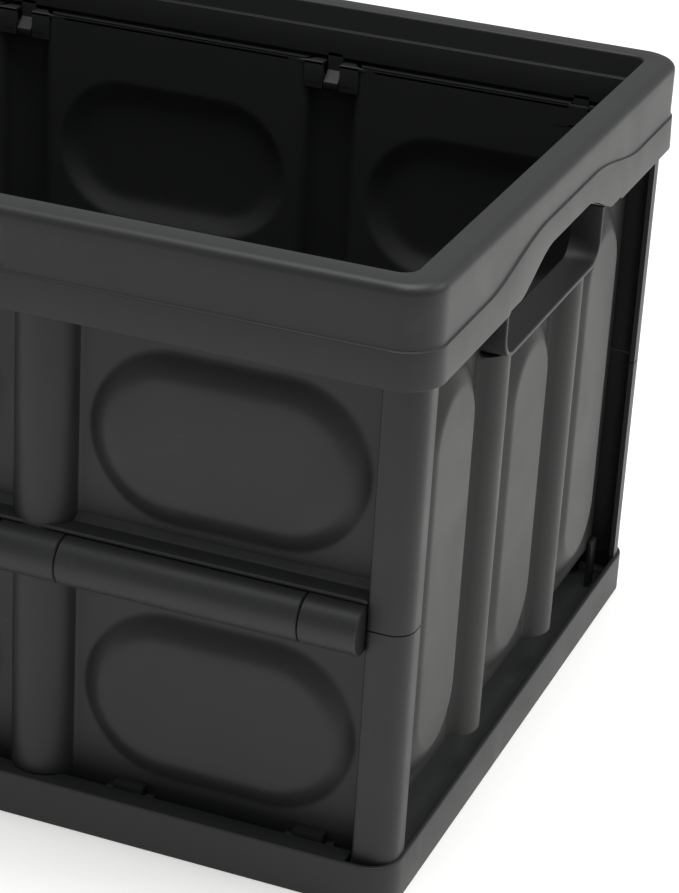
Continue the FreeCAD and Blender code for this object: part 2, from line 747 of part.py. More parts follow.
def end_columns(body):
    """Half-round columns between the ovals, hollow from inside."""
    width, rise = "(end_column_width / 2)", "end_column_reach"
    radius = "((%s ^ 2 + %s ^ 2) / (2 * %s))" % (width, rise, rise)
    centre = "(end_depth - %s + %s)" % (rise, radius)
    hollow = "(%s - end_wall)" % radius
    back = "(end_depth + end_wall)"
    chord = "sqrt(%s ^ 2 - (%s - %s) ^ 2)" % (hollow, centre, back)
    top = "frame_low - grip_depth - end_wall + overlap"
    for side, middle in (("left", "-end_column_place"), ("right", "end_column_place")):
        left, right = "%s - %s" % (middle, width), "%s + %s" % (middle, width)
        root = "end_depth + overlap"
        solid = [(right, root), (left, root), (left, "end_depth")]
        solid += [(right, "end_depth", middle, centre, 270)]
        slab(body, side + "_column", solid, "end_foot", top)
        inner_left, inner_right = "%s - %s" % (middle, chord), "%s + %s" % (middle, chord)
        void = [(inner_left, back), (inner_right, back, middle, centre, 270)]
        slab(body, side + "_column_hollow", void, "end_foot", top + " - end_wall", adds=False)


def lip(body):
    """The hand opening and the lip that stands out round its lower part."""
    half, foot = "grip_half_width", "frame_low - grip_depth"
    high = "end_axis"
    outer = "(%s + end_wall)" % half
    ring = new_sketch(body, "lip", "XZ_Plane", "-end_depth - end_wall")
    corner = "grip_corner + end_wall"
    draw(ring, grip_outline(outer, foot + " - end_wall", "frame_low - overshoot", corner))
    grow(body, ring, "end_depth + end_wall - grip_lip_depth")
    hole = new_sketch(body, "grip_hole", "XZ_Plane", "-end_depth - end_wall - overshoot")
    draw(hole, grip_outline(half, foot, high, "grip_corner"))
    cut(body, hole, "end_depth + end_wall + 2 * overshoot", True)


def grip_outline(half, low, high, corner):
    """A U with round lower corners, closed straight across at the top."""
    left, right = "(%s) - (%s)" % (corner, half), "(%s) - (%s)" % (half, corner)
    level = "(%s) + (%s)" % (low, corner)
    return [
        (right, low),
        (half, level, right, level, 315),
        (half, high),
        ("-(%s)" % half, high),
        ("-(%s)" % half, level),
        (left, low, left, level, 225),
    ]


def rod(label, diameter, length, spots, along_y=False):
    """A plain hinge rod that lies along X, or along Y."""
    item = doc.addObject("Part::Cylinder", label)
    item.Label = label
    item.setExpression("Radius", bind(diameter + " / 2"))
    item.setExpression("Height", bind(length))
    axis = FreeCAD.Vector(1, 0, 0) if along_y else FreeCAD.Vector(0, 1, 0)
    item.Placement = FreeCAD.Placement(
        FreeCAD.Vector(0, 0, 0), FreeCAD.Rotation(axis, -90 if along_y else 90)
    )
    for letter, words in spots.items():
        item.setExpression("Placement.Base." + letter, bind(words))
    return item


def rods():
    """The eight hinge rods."""
    made = []
    long_rod = "2 * (post_in - rod_inset)"
    start = "rod_inset - post_in"
    for side, sign in (("front", "-"), ("back", "")):
        pivot, middle = "%s(width / 2 - pivot_depth)" % sign, "%s(width / 2 - mid_depth)" % sign
        levels = [("mid", middle, "mid_axis"), ("base", pivot, "base_pivot"), ("frame", pivot, "frame_axis")]
        for name, y, z in levels:
            size = "mid_rod" if name == "mid" else "rod"
            spots = {"x": start, "y": y, "z": z}
            made.append(rod("%s_%s_rod" % (side, name), size, long_rod, spots))
    for side, sign in (("left", "-"), ("right", "")):
        reach = "end_station + lug_width / 2 + side_gap + knuckle_width"
        spots = {"x": "%s(length / 2 - end_pivot_depth)" % sign, "y": "-(%s)" % reach, "z": "end_axis"}
        made.append(rod(side + "_end_rod", "rod", "2 * (%s)" % reach, spots, along_y=True))
    return made


def build():
    """Makes every piece and puts it where it belongs."""
    pieces = [base_tray(), top_frame()]
    for side, spot, turn in (("front", "-width / 2", 0), ("back", "width / 2", 180)):
        for half in (lower_half(side + "_lower_panel"), upper_half(side + "_upper_panel")):
            place(half, {"y": spot}, turn)
            pieces.append(half)
    for side, spot, turn in (("left", "-length / 2", -90), ("right", "length / 2", 90)):
        panel = end_panel(side + "_end_panel")
        place(panel, {"x": spot}, turn)
        pieces.append(panel)
    return pieces + rods()


def export(pieces):
    """Checks every object and writes each piece to its own file."""
    doc.recompute()
    for item in doc.Objects:
        if "Invalid" in item.State or "Error" in item.State:
            raise RuntimeError(item.Name + " did not recompute")
    for piece in pieces:
        if piece.Shape.isNull() or not piece.Shape.isValid() or len(piece.Shape.Solids) != 1:
            raise RuntimeError("%s is not one valid solid" % piece.Label)
    os.makedirs("parts", exist_ok=True)
    for piece in pieces:
        piece.Shape.exportStep("parts/%s.step" % piece.Label)
        print(piece.Label, round(piece.Shape.Volume / 1000, 1), "cm3")


export(build())
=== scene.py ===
import math

import bmesh
import bpy
import numpy as np
from mathutils import Matrix, Vector


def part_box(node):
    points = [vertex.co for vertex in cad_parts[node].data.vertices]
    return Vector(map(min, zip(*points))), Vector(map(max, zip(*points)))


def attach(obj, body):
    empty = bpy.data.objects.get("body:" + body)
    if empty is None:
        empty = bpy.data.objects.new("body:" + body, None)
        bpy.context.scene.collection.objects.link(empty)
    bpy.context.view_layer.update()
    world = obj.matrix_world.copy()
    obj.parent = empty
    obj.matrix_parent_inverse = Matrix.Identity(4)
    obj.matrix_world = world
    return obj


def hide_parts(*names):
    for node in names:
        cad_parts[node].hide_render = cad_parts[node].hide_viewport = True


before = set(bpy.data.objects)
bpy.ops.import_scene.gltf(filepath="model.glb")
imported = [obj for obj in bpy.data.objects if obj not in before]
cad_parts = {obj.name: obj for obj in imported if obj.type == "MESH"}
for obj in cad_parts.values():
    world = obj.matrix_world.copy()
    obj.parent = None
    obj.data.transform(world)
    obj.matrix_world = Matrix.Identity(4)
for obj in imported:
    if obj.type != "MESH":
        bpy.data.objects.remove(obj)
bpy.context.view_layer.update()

# Sizes below are millimetres, and meshes are written in metres.
# A "depth" is measured inward from the outer face of the top frame.
millimetre = 0.001
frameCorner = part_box("top_frame")[1]
halfLength = frameCorner[0] / millimetre
halfWidth = frameCorner[1] / millimetre
crateTop = frameCorner[2] / millimetre
scene = bpy.context.scene
print("frame loaded")


def ease(t):
    # smoothstep: 3t^2 - 2t^3 between 0 and 1, flat outside
    t = np.clip(t, 0, 1)
    return t * t * (3 - 2 * t)


def ramp(t, foot, crest):
    # ramp from 0 to 1, rounded at both ends: half of 1 + sqrt(t^2 + foot^2) - sqrt((t - 1)^2 + crest^2)
    return (1 + np.hypot(t, foot) - np.hypot(t - 1, crest)) / 2


def toSide(points, side):
    # points hold (place along the side, depth, height), turned about Z onto one of the four sides
    along, depth, z = points[..., 0], points[..., 1], points[..., 2]
    if side == "front":
        return np.stack([along, depth - halfWidth, z], -1)
    if side == "back":
        return np.stack([-along, halfWidth - depth, z], -1)
    if side == "right":
        return np.stack([halfLength - depth, along, z], -1)
    return np.stack([depth - halfLength, -along, z], -1)


def roundedLine(corners, steps=5):
    # closed outline: each corner (x, y, radius) becomes a short arc, tangent to both neighbours
    corners = np.array(corners, float)
    spots, radii = corners[:, :2], corners[:, 2]
    before = np.roll(spots, 1, 0) - spots
    after = np.roll(spots, -1, 0) - spots
    before /= np.linalg.norm(before, axis=1)[:, None]
    after /= np.linalg.norm(after, axis=1)[:, None]
    half = np.arccos(np.clip((before * after).sum(1), -0.9999, 0.9999)) / 2
    middle = before + after
    middle /= np.linalg.norm(middle, axis=1)[:, None]
    centres = spots + middle * (radii / np.sin(half))[:, None]
    first = spots + before * (radii / np.tan(half))[:, None] - centres
    last = spots + after * (radii / np.tan(half))[:, None] - centres
    t = np.linspace(0, 1, steps)[None, :, None]
    sweep = math.pi - 2 * half[:, None, None]
    arcs = (np.sin((1 - t) * sweep) * first[:, None] + np.sin(t * sweep) * last[:, None]) / np.sin(sweep)
    return (centres[:, None] + arcs).reshape(-1, 2)


def gridFaces(rows, columns, closedRows=False, closedColumns=False):
    # quads of a grid of points, row by row, with either direction closed into a ring
    i = np.arange(rows if closedRows else rows - 1)
    j = np.arange(columns if closedColumns else columns - 1)
    i, j = np.meshgrid(i, j, indexing="ij")
    nextI, nextJ = (i + 1) % rows, (j + 1) % columns
    quads = [i * columns + j, nextI * columns + j, nextI * columns + nextJ, i * columns + nextJ]
    return np.stack(quads, -1).reshape(-1, 4)


def shell(outer, inner, keep=None):
    # two grids of points joined into one closed wall; keep says which cells are there
    rows, columns = outer.shape[:2]
    count = rows * columns
    if keep is None:
        keep = np.ones((rows - 1, columns - 1), bool)
    cells = gridFaces(rows, columns)[keep.ravel()]
    index = np.arange(count).reshape(rows, columns)
    padded = np.pad(keep, 1)
    rowEdge = padded[:-1, 1:-1] != padded[1:, 1:-1]
    columnEdge = padded[1:-1, :-1] != padded[1:-1, 1:]
    starts = np.concatenate([index[:, :-1][rowEdge], index[:-1, :][columnEdge]])
    ends = np.concatenate([index[:, 1:][rowEdge], index[1:, :][columnEdge]])
    rim = np.stack([starts, ends, ends + count, starts + count], -1)
    points = np.concatenate([outer.reshape(-1, 3), inner.reshape(-1, 3)])
    return points, np.concatenate([cells, cells[:, ::-1] + count, rim]).tolist()


def prism(outline, start, end, chamfer=0.3):
    # a closed (depth, height) outline carried along the side from start to end, with chamfered ends
    outline = np.array(outline, float)
    ahead = np.roll(outline, -1, 0) - np.roll(outline, 1, 0)
    normal = np.stack([ahead[:, 1], -ahead[:, 0]], -1)
    normal /= np.linalg.norm(normal, axis=1)[:, None] + 1e-9
    area = (outline[:, 0] * np.roll(outline[:, 1], -1) - np.roll(outline[:, 0], -1) * outline[:, 1]).sum()
    small = outline - normal * chamfer * np.sign(area)
    rings = [(start, small), (start + chamfer, outline), (end - chamfer, outline), (end, small)]
    count = len(outline)
    points = np.concatenate([np.column_stack([np.full(count, a), ring]) for a, ring in rings])
    faces = gridFaces(4, count, closedColumns=True).tolist()
    return points, faces + [list(range(count)), list(range(3 * count, 4 * count))]


def turned(part, side):
    # the same part on one of the four sides
    return toSide(part[0], side), part[1]


def makePiece(name, parts, material, body, nodes, sharp=38):
    # joins the parts into one mesh in metres, with outward faces and sharp edges above an angle
    points, faces, base = [], [], 0
    for spots, quads in parts:
        points.append(np.asarray(spots, float).reshape(-1, 3) * millimetre)
        faces += [[corner + base for corner in face] for face in quads]
        base += len(points[-1])
    mesh = bpy.data.meshes.new(name)
    mesh.from_pydata(np.concatenate(points).tolist(), [], faces)
    build = bmesh.new()
    build.from_mesh(mesh)
    loose = [v for v in build.verts if not v.link_faces]
    bmesh.ops.delete(build, geom=loose, context="VERTS")
    bmesh.ops.recalc_face_normals(build, faces=build.faces)
    build.to_mesh(mesh)
    build.free()
    mesh.shade_smooth()
    mesh.set_sharp_from_angle(angle=math.radians(sharp))
    mesh.materials.append(material)
    piece = bpy.data.objects.new(name, mesh)
    scene.collection.objects.link(piece)
    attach(piece, body)
    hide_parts(*nodes)
    print("made", name, len(mesh.polygons), "faces")
    return piece


def linearColour(code):
    # sRGB hex to linear RGBA
    parts = [int(code[n:n + 2], 16) / 255 for n in (0, 2, 4)]
    return [p / 12.92 if p <= 0.04045 else ((p + 0.055) / 1.055) ** 2.4 for p in parts] + [1.0]


def addNode(tree, kind, inputs=None, links=None, **settings):
    # one node with its settings, socket values and incoming links
    node = tree.nodes.new(kind)
    for key, word in settings.items():
        setattr(node, key, word)
    for key, number in (inputs or {}).items():
        node.inputs[key].default_value = number
    for key, (source, output) in (links or {}).items():
        tree.links.new(source.outputs[output], node.inputs[key])
    return node


def newMaterial(name):
    material = bpy.data.materials.new(name)
    material.use_nodes = True
    material.node_tree.nodes.clear()
    return material, material.node_tree


# Moulded polypropylene: near-black and satin, with a fine spark-eroded grain, slow flow marks
# from the melt, slight sink waves on flat walls, and a few pale rubs.
polypropylene = {
    "ior": 1.49,
    "specular": 0.3,          # the grain scatters part of the gloss
    "grainSize": 0.9,         # real grain is about 0.2 mm; drawn coarser so that it shows
    "grainDepth": 0.012,
    "flowSize": 55,
    "waveSize": 38,
    "waveDepth": 0.06,
    "rubSize": 24,
    "speckleSize": 3.2,
    "rubGloss": 0.18,         # how much rougher a rub is
}


def mouldedPolypropylene(name, colour, worn, roughLow, roughHigh, rubs):
    material, tree = newMaterial(name)
    size = polypropylene
    place = addNode(tree, "ShaderNodeTexCoord")
    spot = {"Vector": (place, "Object")}
    patterns = ("grain", "flow", "wave", "rub", "speckle")
    scale = {word: 1 / (size[word + "Size"] * millimetre) for word in patterns}
    grain = addNode(tree, "ShaderNodeTexNoise", {"Scale": scale["grain"], "Detail": 2.0}, spot)
    flow = addNode(tree, "ShaderNodeTexNoise",
                   {"Scale": scale["flow"], "Detail": 3.0, "Distortion": 1.2}, spot)
    wave = addNode(tree, "ShaderNodeTexNoise", {"Scale": scale["wave"], "Detail": 1.0}, spot)
    rub = addNode(tree, "ShaderNodeTexNoise",
                  {"Scale": scale["rub"], "Detail": 4.0, "Roughness": 0.65, "Distortion": 0.6}, spot)
    speckle = addNode(tree, "ShaderNodeTexNoise", {"Scale": scale["speckle"], "Detail": 3.0}, spot)
    rubMask = addNode(tree, "ShaderNodeMapRange",
                      {"From Min": 0.60, "From Max": 0.78, "To Min": 0.0, "To Max": rubs},
                      {"Value": (rub, "Fac")})
    speckleMask = addNode(tree, "ShaderNodeMapRange",
                          {"From Min": 0.45, "From Max": 0.62}, {"Value": (speckle, "Fac")})
    rubbed = addNode(tree, "ShaderNodeMath", None,
                     {0: (rubMask, "Result"), 1: (speckleMask, "Result")}, operation="MULTIPLY")
    # a Mix node set to colours takes its two colours at sockets 6 and 7 and gives the result at 2
    tint = addNode(tree, "ShaderNodeMix", {6: linearColour(colour), 7: linearColour(worn)},
                   {"Factor": (rubbed, "Value")}, data_type="RGBA")
    rough = addNode(tree, "ShaderNodeMapRange",
                    {"From Min": 0.3, "From Max": 0.7, "To Min": roughLow, "To Max": roughHigh},
                    {"Value": (flow, "Fac")})
    roughWorn = addNode(tree, "ShaderNodeMath", {1: size["rubGloss"]},
                        {0: (rubbed, "Value"), 2: (rough, "Result")}, operation="MULTIPLY_ADD")
    waveBump = addNode(tree, "ShaderNodeBump",
                       {"Strength": 1.0, "Distance": size["waveDepth"] * millimetre},
                       {"Height": (wave, "Fac")})
    grainBump = addNode(tree, "ShaderNodeBump",
                        {"Strength": 1.0, "Distance": size["grainDepth"] * millimetre},
                        {"Height": (grain, "Fac"), "Normal": (waveBump, "Normal")})
    shader = addNode(tree, "ShaderNodeBsdfPrincipled",
                     {"IOR": size["ior"], "Specular IOR Level": size["specular"]},
                     {"Base Color": (tint, 2), "Roughness": (roughWorn, "Value"),
                      "Normal": (grainBump, "Normal")})
    addNode(tree, "ShaderNodeOutputMaterial", None, {"Surface": (shader, "BSDF")})
    return material


def blackenedSteelWire(name, colour):
    # Drawn steel wire with a black oxide finish: dark metal with fine lines about 0.4 mm apart, coarser
    # than real ones so that they show. They run along X, as six of the eight rods do.
    material, tree = newMaterial(name)
    place = addNode(tree, "ShaderNodeTexCoord")
    stretch = addNode(tree, "ShaderNodeMapping", {"Scale": (20, 2500, 2500)}, {"Vector": (place, "Object")})
    lines = addNode(tree, "ShaderNodeTexNoise", {"Scale": 1.0, "Detail": 2.0},
                    {"Vector": (stretch, "Vector")})
    rough = addNode(tree, "ShaderNodeMapRange", {"To Min": 0.28, "To Max": 0.48}, {"Value": (lines, "Fac")})
    bump = addNode(tree, "ShaderNodeBump", {"Strength": 0.6, "Distance": 0.01 * millimetre},
                   {"Height": (lines, "Fac")})
    shader = addNode(tree, "ShaderNodeBsdfPrincipled",
                     {"Base Color": linearColour(colour), "Metallic": 1.0},
                     {"Roughness": (rough, "Result"), "Normal": (bump, "Normal")})
    addNode(tree, "ShaderNodeOutputMaterial", None, {"Surface": (shader, "BSDF")})
    return material


framePlastic = mouldedPolypropylene("polypropylene_frame", "222423", "5c5e5c", 0.42, 0.47, 0.10)
basePlastic = mouldedPolypropylene("polypropylene_base", "222423", "5c5e5c", 0.44, 0.50, 0.16)
sidePlastic = mouldedPolypropylene("polypropylene_sides", "222423", "5c5e5c", 0.42, 0.48, 0.10)
endPlastic = mouldedPolypropylene("polypropylene_ends", "222322", "5c5e5c", 0.44, 0.50, 0.10)
rodSteel = blackenedSteelWire("blackened_steel_wire", "47484a")
print("materials ready")


side = {
    "columnPlace": 86, "columnHalf": 15, "wallFace": 20.9, "columnFace": 8.5, "wall": 2.4,
    "postIn": 238, "postOut": 256.5, "postCorner": 9, "innerFace": 23.3,
    "low": 20, "skirtLow": 14.6, "postLow": 17, "high": 257, "midAxis": 130, "seam": 0.3,
    "step": 1.2, "soften": 0.9, "innerSoften": 1.6, "rowStep": 1.5, "postTrim": 0.8,
    "ovalReach": 6.4, "ovalHalf": 39, "ovalCentre": 60, "ovalLowerCentre": 62.5, "ovalLowerHalf": 40,
    "ovalSlope": 9.5, "ovalFoot": 0.05, "ovalCrest": 0.3, "ovalMargin": 5, "ovalShrink": 2.0,
    "barrelRadius": 10.9, "barrelDepth": 8, "blockDepth": 22, "endBarrel": 25.5, "gap": 0.5,
    "pivotDepth": 19.5, "basePivot": 14, "framePivot": 246, "knuckleRadius": 3.8,
    "knuckleWidth": 14, "lugWidth": 8, "cheekArm": 0.3, "armSink": 2,
    "ledgeDepth": 9, "ledgeWall": 1.8, "filletWidth": 2.5, "filletHeight": 5.5, "rootSink": 1.2,
    "capHeight": 14, "flangeDepth": 15.7, "flangeWall": 1.8, "curbClear": 15.7, "trim": 0.3,
}
baseStations = [-215, -130, 0, 130, 215]
frameStations = [-215, -86, 86, 215]
endStations = [-112, 112]


def soften(line, width, step):
    # Gaussian average along an open line, its ends held
    reach = int(4 * width / step)
    weights = np.exp(-0.5 * (np.arange(-reach, reach + 1) * step / width) ** 2)
    padded = np.pad(line, ((reach, reach), (0, 0)), mode="reflect", reflect_type="odd")
    return np.stack([np.convolve(padded[:, k], weights / weights.sum(), "valid") for k in (0, 1)], -1)


def sidePlan():
    # Plan line of the wall's outer face: flat wall, round columns (circle through the wall line),
    # square-shouldered posts with a quarter-round outer corner, then the short return
    s = side
    rise = s["wallFace"] - s["columnFace"]
    radius = (s["columnHalf"] ** 2 + rise ** 2) / (2 * rise)
    centre = s["columnFace"] + radius
    reach = math.acos((centre - s["wallFace"]) / radius)
    turn = np.linspace(-reach, reach, 60)
    column = np.stack([s["columnPlace"] + radius * np.sin(turn), centre - radius * np.cos(turn)], -1)
    quarter = np.linspace(0, math.pi / 2, 30)
    corner = np.stack([s["postOut"] - s["postCorner"] * (1 - np.sin(quarter)),
                       s["columnFace"] + s["postCorner"] * (1 - np.cos(quarter))], -1)
    half = np.concatenate([
        [[0, s["wallFace"]]], column, [[s["postIn"], s["wallFace"]], [s["postIn"], s["columnFace"]]],
        corner, [[s["postOut"], s["innerFace"]]],
    ])
    line = np.concatenate([half[::-1] * [-1, 1], half[1:]])
    steps = np.linalg.norm(np.diff(line, axis=0), axis=1)
    length = np.concatenate([[0], np.cumsum(steps)])
    spots = np.linspace(0, length[-1], int(length[-1] / s["step"]) + 1)
    even = np.stack([np.interp(spots, length, line[:, k]) for k in (0, 1)], -1)
    return soften(even, s["soften"], s["step"])


def ovalBulge(x, z, centre, half, shrink):
    # Stadium in each bay: distance inside its edge, then a rounded ramp up to a flat crest
    s = side
    middle = s["columnPlace"] - s["columnHalf"] - s["ovalMargin"]
    near = s["columnPlace"] + s["columnHalf"] + s["ovalMargin"]
    far = s["postIn"] - s["ovalMargin"]
    bulge = np.zeros_like(x)
    for left, right in ((-far, -near), (-middle, middle), (near, far)):
        radius = half - shrink
        straight = (right - left) / 2 - half
        outX = np.maximum(abs(x - (left + right) / 2) - straight, 0)
        inside = radius - np.hypot(outX, z - centre)
        height = s["ovalReach"] * ramp(inside / s["ovalSlope"], s["ovalFoot"], s["ovalCrest"])
        bulge = np.maximum(bulge, height)
    return bulge


def sideWall(upper):
    s = side
    plan = sidePlan()
    ahead = np.gradient(plan, axis=0)
    ahead /= np.linalg.norm(ahead, axis=1)[:, None]
    outward = np.stack([ahead[:, 1], -ahead[:, 0]], -1)
    innerPlan = soften(plan - outward * s["wall"], s["innerSoften"], s["step"])
    # behind the curb the wall reaches down to the hinge, and the posts reach down into the rim
    along = abs(plan[:, 0])
    postStart = s["postIn"] - s["postTrim"]
    behindCurb = (plan[:, 1] > s["curbClear"]) & (along < postStart)
    low = np.where(behindCurb, s["skirtLow"], np.where(along > postStart, s["postLow"], s["low"]))
    high = np.full(len(plan), s["midAxis"] - s["seam"])
    clear = (s["barrelRadius"] + s["gap"]) ** 2 - (plan[:, 1] - s["barrelDepth"]) ** 2
    atColumn = abs(abs(plan[:, 0]) - s["columnPlace"]) < s["columnHalf"] + 0.5
    cut = s["midAxis"] - np.sqrt(np.maximum(clear, 0))
    high = np.where(atColumn, np.minimum(high, cut), high)
    centre, half = s["midAxis"] - s["ovalLowerCentre"], s["ovalLowerHalf"]
    if upper:
        low, high = np.full(len(plan), s["midAxis"] + s["seam"]), np.full(len(plan), float(s["high"]))
        centre, half = s["midAxis"] + s["ovalCentre"], s["ovalHalf"]
    rows = int((s["high"] - s["midAxis"]) / s["rowStep"])
    t = np.linspace(0, 1, rows + 1)[None, :]
    z = low[:, None] * (1 - t) + high[:, None] * t
    faces = []
    for line, shrink in ((plan, 0), (innerPlan, s["ovalShrink"])):
        x = np.repeat(line[:, :1], rows + 1, 1)
        depth = line[:, 1:] - ovalBulge(x, z, centre, half, shrink)
        faces.append(np.stack([x, depth, z], -1))
    return shell(*faces)


def barrelOutline(upper):
    # Round knuckle about the mid axis with a block to the wall on its own half's side
    s = side
    sign = 1 if upper else -1
    turn = np.linspace(math.pi / 2, math.pi * 2, 44)
    radius, depth = s["barrelRadius"], s["barrelDepth"]
    arc = np.stack([depth + radius * np.cos(turn), sign * radius * np.sin(turn)], -1)
    seam, back = s["seam"] * sign, s["blockDepth"]
    block = np.array([[depth + radius, seam], [back, seam], [back, sign * radius]])
    line = np.concatenate([arc, block])
    return line + [0, s["midAxis"]]


def knuckleOutline(depth, level, upward, reach):
    # Half circle about the pivot with an arm that goes up or down
    sign = 1 if upward else -1
    turn = np.linspace(0, math.pi, 16)
    radius = side["knuckleRadius"]
    arc = np.stack([depth - radius * np.cos(turn), level - sign * radius * np.sin(turn)], -1)
    far = level + sign * reach
    return np.concatenate([arc, [[depth + radius, far], [depth - radius, far]]])


def longSide(upper):
    s = side
    parts = [sideWall(upper)]
    outer = s["columnPlace"] + s["columnHalf"] + s["gap"]
    inner = s["columnPlace"] - s["columnHalf"] - s["gap"]
    endStart = s["postIn"] - s["endBarrel"] - s["gap"]
    if upper:
        spans = [(-endStart - s["endBarrel"], -endStart), (-outer + s["gap"], -inner - s["gap"]),
                 (inner + s["gap"], outer - s["gap"]), (endStart, endStart + s["endBarrel"])]
    else:
        spans = [(-endStart + s["gap"], -outer), (-inner, inner), (outer, endStart - s["gap"])]
    parts += [prism(barrelOutline(upper), a, b, 0.5) for a, b in spans]
    if upper:
        low = s["midAxis"] + s["barrelRadius"] + s["gap"]
        thick, tall = low + s["ledgeWall"], low + s["filletHeight"]
        root = s["wallFace"] + s["rootSink"]
        ledge = roundedLine([(s["ledgeDepth"], low, 0.3), (s["ledgeDepth"], thick, 0.5),
                             (s["wallFace"] - s["filletWidth"], thick, 1.5), (s["wallFace"], tall, 1.0),
                             (root, tall, 0.3), (root, low, 0.3)])
        end = s["postIn"] - s["trim"]
        parts.append(prism(ledge, -end, end))
        cheek = s["knuckleWidth"] / 2
        near = s["lugWidth"] / 2 + s["gap"]
        high = s["high"]
        thin, front, back = high - s["flangeWall"], s["flangeDepth"], s["innerFace"]
        flange = roundedLine([(front, thin, 0.3), (front, high, 0.5), (back, high, 0.5), (back, thin, 0.3)])
        foot, top, face = high - s["capHeight"], high - 0.1, s["wallFace"]
        cap = roundedLine([(face, foot, 0.3), (face, top, 0.3), (back, top, 0.3), (back, foot, 0.3)])
        ends = [-end] + [edge for spot in frameStations for edge in (spot - near, spot + near)] + [end]
        parts += [prism(flange, a, b, 0.2) for a, b in zip(ends[::2], ends[1::2])]
        for place in (-s["columnPlace"], s["columnPlace"]):
            reach = s["columnHalf"] - s["trim"]
            parts += [prism(cap, place - reach, place - near), prism(cap, place + near, place + reach)]
        line = knuckleOutline(s["pivotDepth"], s["framePivot"], False, s["cheekArm"])
        for station in frameStations:
            parts += [prism(line, station - near - cheek, station - near),
                      prism(line, station + near, station + near + cheek)]
    else:
        arm = s["low"] - s["basePivot"] + s["armSink"]
        line = knuckleOutline(s["pivotDepth"], s["basePivot"], True, arm)
        wide = s["knuckleWidth"] / 2
        parts += [prism(line, station - wide, station + wide) for station in baseStations]
    return parts


for where in ("front", "back"):
    for upper, word in ((False, "lower"), (True, "upper")):
        node = "%s_%s_panel" % (where, word)
        parts = [turned(part, where) for part in longSide(upper)]
        makePiece(node + "_moulding", parts, sidePlastic, "crate_body", [node])


endPanel = {
    "depth": 17, "wall": 2.2, "edge": 151.7, "low": 27, "high": 261.7,
    "step": 1.4, "rowStep": 1.6,
    "reach": 5.5, "slope": 11.5, "foot": 0.06, "crest": 0.06,
    "ovalLow": 33, "outerTop": 226, "middleTop": 207.6,
    "near": 69, "far": 137, "middle": 35,
    "columnPlace": 52, "columnHalf": 13, "columnReach": 9.8, "columnTop": 215,
    "gripHalf": 66, "gripLow": 216, "gripCorner": 10, "lipDepth": 4.5, "lipTop": 241,
    "pivotDepth": 19, "pivotHeight": 266,
}


def endDepth(y, z, shrink):
    # Depth of the panel: tall stadiums with eased flanks, and round columns that end at the grip
    e = endPanel
    bulge = np.zeros_like(y)
    ovals = [(-e["far"], -e["near"], e["outerTop"]), (-e["middle"], e["middle"], e["middleTop"]),
             (e["near"], e["far"], e["outerTop"])]
    for left, right, high in ovals:
        radius = (right - left) / 2 - shrink
        centre = (right + left) / 2
        lowEnd, highEnd = e["ovalLow"] + (right - left) / 2, high - (right - left) / 2
        outZ = np.maximum(np.maximum(lowEnd - z, z - highEnd), 0)
        inside = radius - np.hypot(y - centre, outZ)
        bulge = np.maximum(bulge, e["reach"] * ramp(inside / e["slope"], e["foot"], e["crest"]))
    rise, half = e["columnReach"], e["columnHalf"]
    circle = (half ** 2 + rise ** 2) / (2 * rise)
    for centre in (-e["columnPlace"], e["columnPlace"]):
        across = np.maximum((circle - shrink) ** 2 - (y - centre) ** 2, 0)
        height = np.sqrt(across) - (circle - rise)
        bulge = np.where((z < e["columnTop"] - shrink) & (height > bulge), height, bulge)
    return e["depth"] - bulge


def gripLine():
    # Centre line of the lip: a U with quarter-round lower corners
    e = endPanel
    middle = e["wall"] / 2
    half, low, corner = e["gripHalf"] + middle, e["gripLow"] - middle, e["gripCorner"] + middle
    turn = np.linspace(math.pi, 1.5 * math.pi, 14)
    left = np.stack([-(half - corner) + corner * np.cos(turn), low + corner + corner * np.sin(turn)], -1)
    right = left[::-1] * [-1, 1]
    return np.concatenate([[[-half, e["lipTop"]]], left, right, [[half, e["lipTop"]]]])


def lip():
    # A rounded band section carried along the U
    e = endPanel
    line = gripLine()
    ahead = np.gradient(line, axis=0)
    ahead /= np.linalg.norm(ahead, axis=1)[:, None]
    normal = np.stack([ahead[:, 1], -ahead[:, 0]], -1)
    half = e["wall"] / 2
    section = roundedLine([(e["lipDepth"], -half, 0.7), (e["lipDepth"], half, 0.7),
                           (e["depth"] + e["wall"], half, 0.2), (e["depth"] + e["wall"], -half, 0.2)], 4)
    spots = line[:, None, :] + normal[:, None, :] * section[None, :, 1:]
    depth = np.repeat(section[None, :, :1], len(line), 0)
    points = np.stack([spots[..., 0], depth[..., 0], spots[..., 1]], -1)
    rows, columns = points.shape[:2]
    faces = gridFaces(rows, columns, closedColumns=True).tolist()
    faces += [list(range(columns)), list(range((rows - 1) * columns, rows * columns))]
    return points.reshape(-1, 3), faces


def endShell():
    e = endPanel
    y = np.linspace(-e["edge"], e["edge"], int(2 * e["edge"] / e["step"]) + 1)
    z = np.linspace(e["low"], e["high"], int((e["high"] - e["low"]) / e["rowStep"]) + 1)
    y, z = np.meshgrid(y, z, indexing="ij")
    outer = np.stack([y, endDepth(y, z, 0), z], -1)
    inner = np.stack([y, endDepth(y, z, e["wall"]) + e["wall"], z], -1)
    midY, midZ = (y[:-1, :-1] + y[1:, 1:]) / 2, (z[:-1, :-1] + z[1:, 1:]) / 2
    middle = e["wall"] / 2
    half, low, corner = e["gripHalf"] + middle, e["gripLow"] - middle, e["gripCorner"] + middle
    outY = np.maximum(abs(midY) - (half - corner), 0)
    outZ = np.maximum(low + corner - midZ, 0)
    hole = np.hypot(outY, outZ) < corner
    hole = np.where(midZ > low + corner, abs(midY) < half, hole)
    return shell(outer, inner, ~hole)


